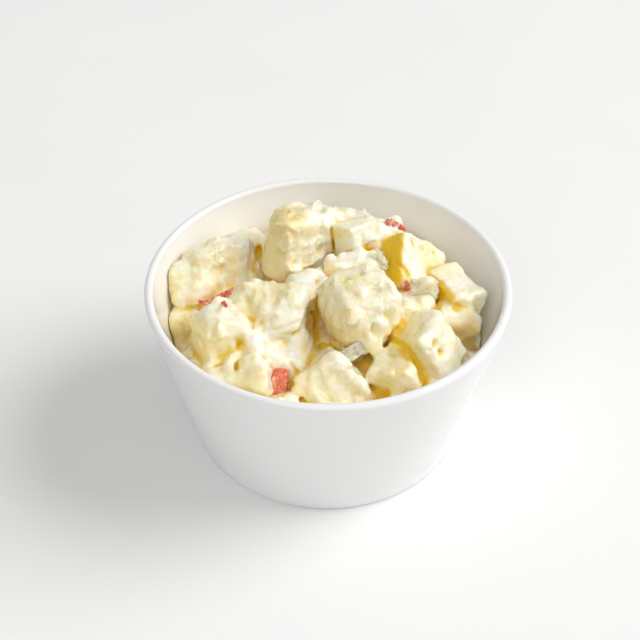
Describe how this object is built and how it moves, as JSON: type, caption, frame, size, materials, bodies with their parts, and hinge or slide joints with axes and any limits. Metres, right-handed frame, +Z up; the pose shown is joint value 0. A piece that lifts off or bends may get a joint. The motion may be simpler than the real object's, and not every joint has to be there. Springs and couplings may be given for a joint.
{
  "type": "potato salad in a bowl",
  "caption": "Creamy potato salad heaped unevenly in a plain round white glazed bowl with straight flaring walls and a flat foot.",
  "frame": {"origin": "middle of the bowl's foot, on the surface that it stands on", "axes": "+Z up along the bowl's axis; +Y away from the reference camera, +X to its right"},
  "size_m": [0.12, 0.12, 0.0703],
  "materials": {
    "glazed_white": "gloss",
    "dressed_potato": "satin",
    "red_skin": "satin",
    "onion": "gloss"
  },
  "bodies": {
    "root": {"bowl": "glazed_white", "salad": "dressed_potato"}
  },
  "joints": []
}
